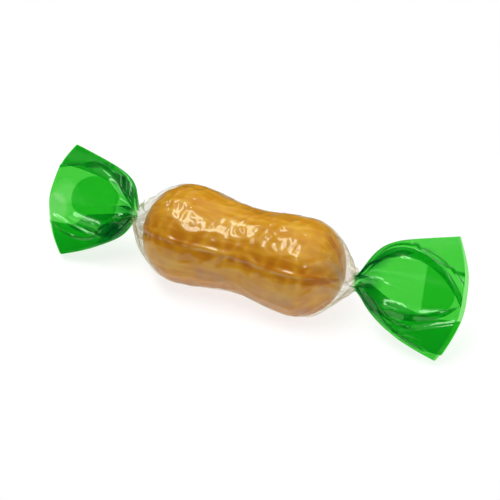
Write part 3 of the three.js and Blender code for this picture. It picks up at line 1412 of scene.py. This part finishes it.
    def film_between(self, name: str, fan: Fan, x: Grid, count: int) -> Piece:
        """Builds a stretch of the film between the necks.

        Args:
            name: The piece's name.
            fan: The fan beyond it.
            x: Distance along the candy, one row each.
            count: How many columns the film has round it.

        Returns:
            The film there, worn on the cones and below the crease, a little clearer again
            at the necks, and green only where a neck begins to be.
        """
        angle = np.linspace(0, TURN, count, endpoint=False)[None, :]
        points = self.sleeve_points(x, angle)
        distance = np.abs(x)
        after_lobe, before_neck = self.cone_wear_gaps
        cone_start = self.outline.half_spacing + after_lobe
        worn = smoothstep(distance, cone_start, self.neck_distance - before_neck)
        worn = worn * self.pleat_wear(angle)
        clearing = self.neck_distance - self.neck_clearing_length
        worn = worn * (1 - self.neck_clearing * smoothstep(distance, clearing, self.neck_distance))
        worn = np.maximum(worn, self.sagging(x, points))
        green = fan.greenness(distance - self.neck_distance)
        return self.film_shell(name, points, closed=True, green=green, worn=worn)

    def build_sleeve(self) -> Piece:
        """Builds the film on the candy, from where it leaves one lobe to the other."""
        x = np.linspace(-self.tangent(Side.LEFT)[0], self.tangent(Side.RIGHT)[0], self.sleeve_rows)
        return self.film_between("film_sleeve", RIGHT_FAN, x[:, None], self.sleeve_columns)

    def build_cone(self, fan: Fan) -> Piece:
        """Builds the clear cone of pleated film from the candy to a fan's neck.

        Args:
            fan: The fan's sizes.

        Returns:
            The cone.
        """
        ends = fan.side.value * np.array([self.tangent(fan.side)[0], self.neck_distance])
        x = np.linspace(*sorted(ends), self.cone_rows)[:, None]
        return self.film_between(f"film_cone_{fan.side.name.lower()}", fan, x, self.fan_columns)

    def build_fan(self, fan: Fan) -> Piece:
        """Builds one fan.

        Args:
            fan: The fan's sizes.

        Returns:
            The fan from its neck to its cut edge, worn where it is gathered, with patches
            painted paler as sheen. Its rows run towards +X, so that its faces point outwards.
        """
        share = np.linspace(0, 1, self.fan_rows)[:: fan.side.value, None] ** self.fan_row_power
        angle = np.linspace(0, TURN, self.fan_columns, endpoint=False)[None, :]
        points = self.fan_points(fan, share, angle)
        beyond = np.abs(points[..., 0]) - self.neck_distance
        own = self.across_flat(angle)
        front = fan.crumple[Face.FRONT]
        wrinkles = front.height_at(share * fan.length, own * fan.half_width) / front.height
        green = fan.greenness(beyond)
        # painted sheen: paler patches where facets would catch the light
        for patch in fan.pale_sheen_patches:
            green = green * (1 - patch.sheen_paleness(share, own, wrinkles))
        wear_end = self.fan_wear_end + self.side_wear * own**2
        worn = (1 - smoothstep(beyond, self.fan_wear_start, wear_end)) * self.pleat_wear(angle)
        name = f"film_fan_{fan.side.name.lower()}"
        return self.film_shell(name, points, closed=True, green=green, worn=worn)

    def build_tuck(self, fan: Fan) -> Piece:
        """Builds the flap of the sheet that is tucked into a fan's round pocket.

        Args:
            fan: The fan's sizes.

        Returns:
            A patch of film that follows the pocket from inside.
        """
        along, across = fan.tuck.places()
        along, across = along + fan.pocket[0], across + fan.pocket[1]
        share = along / fan.length
        relative = (across - fan.middle(share)) / fan.half_width
        facing = self.thickness(share) - fan.tuck.depth + fan.wave(share, relative)
        facing = facing - fan.pocket_dent(along, across)
        x = fan.side.value * (self.neck_distance + along)
        points = self.section(x, across, facing)[:: fan.side.value]
        name = f"film_tuck_{fan.side.name.lower()}"
        return self.film_shell(name, points, closed=False, green=np.ones(1))

    def build(self) -> list[Piece]:
        """Builds every piece of the film: the sleeve, and each end's cone, fan and tuck."""
        makers = (self.build_cone, self.build_fan, self.build_tuck)
        return [self.build_sleeve(), *(make(fan) for make in makers for fan in (LEFT_FAN, RIGHT_FAN))]

    def dress(self, piece: Piece, finish: Material) -> None:
        """Gives a piece of film its finish and its place in the frame.

        Args:
            piece: The piece.
            finish: Its material.
        """
        piece.data.materials.append(finish)
        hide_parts("wrapper")
        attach(piece, "root")


# ---- The studio ----


@dataclass(frozen=True)
class Softbox:
    """A soft rectangular light that is turned to the candy, its sizes in metres."""

    name: str
    place: Triple
    size: Span
    radiance: float
    mirrored: bool = True

    def hang(self) -> None:
        """Hangs it, with a power of its radiance times pi times its area."""
        lamp = bpy.data.lights.new(self.name, "AREA")
        lamp.shape = "RECTANGLE"
        lamp.size, lamp.size_y = self.size
        lamp.energy = self.radiance * math.pi * self.size[0] * self.size[1]
        light = add_object(self.name, lamp)
        light.location = self.place
        light.rotation_euler = Vector(self.place).to_track_quat("Z", "Y").to_euler()
        light.visible_glossy = self.mirrored


@dataclass
class Studio:
    """A pale floor under a bright soft ceiling, with dim walls, two lights and the camera.

    One softbox overhead gives the highlights, and nothing mirrors the other, which fills.
    """

    azimuth: float = math.radians(26)
    elevation: float = math.radians(36)
    lens: float = 180.0
    sensor: float = 36.0
    nearest: float = 0.01
    filled: float = 0.92
    softboxes: tuple[Softbox, ...] = (
        Softbox("key", place=(-0.6, -0.45, 2.4), size=(2.6, 0.62), radiance=7.4),
        Softbox("fill", place=(1.7, 0.4, 1.0), size=(1.2, 1.2), radiance=3.0, mirrored=False),
    )
    floor_radius: float = 0.056
    floor_sides: int = 96
    wall: float = 0.03
    ceiling: float = 0.75
    wall_top: float = 0.55
    ceiling_edge: float = 0.85
    backdrop: float = 1.0
    film_bounces: int = 48
    bounces: int = 10

    def lay_floor(self, finish: Material) -> None:
        """Lays the floor, a flat disc at the height that the candy lies on.

        Args:
            finish: Its material.
        """
        turn = np.linspace(0, TURN, self.floor_sides, endpoint=False)
        rim = np.stack([np.cos(turn), np.sin(turn), 0 * turn], axis=-1) * self.floor_radius
        mesh = bpy.data.meshes.new("floor")
        mesh.from_pydata(rim, [], [tuple(range(self.floor_sides))])
        mesh.materials.append(finish)
        floor = add_object("floor", mesh)
        floor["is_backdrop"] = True

    def light_room(self) -> None:
        """Sets the world: dim walls that brighten to a soft ceiling, by the height looked up.

        Camera rays see a plain pale backdrop in their place.
        """
        nodes = Nodes(bpy.data.worlds.new("room"), "ShaderNodeOutputWorld")
        looked = nodes.add("ShaderNodeTexCoord").outputs["Generated"]
        height = nodes.add("ShaderNodeSeparateXYZ", {0: looked}).outputs["Z"]
        spans = {
            "Value": height,
            "From Min": self.wall_top,
            "From Max": self.ceiling_edge,
            "To Min": self.wall,
            "To Max": self.ceiling,
        }
        rise = nodes.add("ShaderNodeMapRange", spans, interpolation_type="SMOOTHSTEP")
        strength = rise.outputs["Result"]
        room = nodes.add("ShaderNodeBackground", {"Color": WHITE, "Strength": strength})
        pale = nodes.add("ShaderNodeBackground", {"Color": WHITE, "Strength": self.backdrop})
        seen = nodes.add("ShaderNodeLightPath").outputs["Is Camera Ray"]
        bpy.context.scene.world = nodes.show(nodes.mix(seen, room, pale))

    def place_camera(self, low: Vector, high: Vector) -> None:
        """Places the camera at the photograph's angle, framed on the model's box.

        Args:
            low: The box's lowest corner.
            high: The box's highest corner.
        """
        sine, cosine = math.sin(self.azimuth), math.cos(self.azimuth)
        level = math.cos(self.elevation)
        back = Vector((sine * level, -cosine * level, math.sin(self.elevation)))
        right = Vector((cosine, sine, 0.0))
        width = right.dot(high - low)
        distance = width / self.filled * self.lens / self.sensor
        data = bpy.data.cameras.new("camera")
        data.lens = self.lens
        data.sensor_width = self.sensor
        data.clip_start = self.nearest
        camera = add_object("camera", data)
        camera.location = (low + high) / 2 + back * distance
        camera.rotation_euler = (-back).to_track_quat("-Z", "Y").to_euler()
        bpy.context.scene.camera = camera

    def set_colour(self) -> None:
        """Sets plain colour management, and enough bounces for many layers of film."""
        scene = bpy.context.scene
        scene.view_settings.view_transform = "Standard"
        scene.view_settings.look = "None"
        scene.cycles.transparent_max_bounces = self.film_bounces
        scene.cycles.max_bounces = self.bounces


def main() -> None:
    """Builds the wrapped candy and its studio, piece by piece."""
    logging.basicConfig(level=logging.INFO, format="%(name)s: %(message)s")
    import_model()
    cad_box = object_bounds()
    outline = Outline()
    low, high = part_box("candy")
    middle = (low.x + high.x) / 2 / MM
    shift = middle - (outline.right_lobe - outline.left_lobe) / 2

    candy = SugarPeanut(outline, shift)
    peanut = candy.build()
    candy.dress(peanut, SugarFinish().make())
    wrapper = TwistWrapper(candy, outline, shift)
    film = CellophaneFinish().make()
    pieces = wrapper.build()
    for piece in pieces:
        wrapper.dress(piece, film)
    for piece in (peanut, *pieces):
        log.info("%s: %d faces", piece.name, len(piece.data.polygons))

    studio = Studio()
    studio.lay_floor(FloorFinish().make())
    for softbox in studio.softboxes:
        softbox.hang()
    studio.light_room()
    studio.place_camera(*cad_box)
    studio.set_colour()


if __name__ == "__main__":
    main()
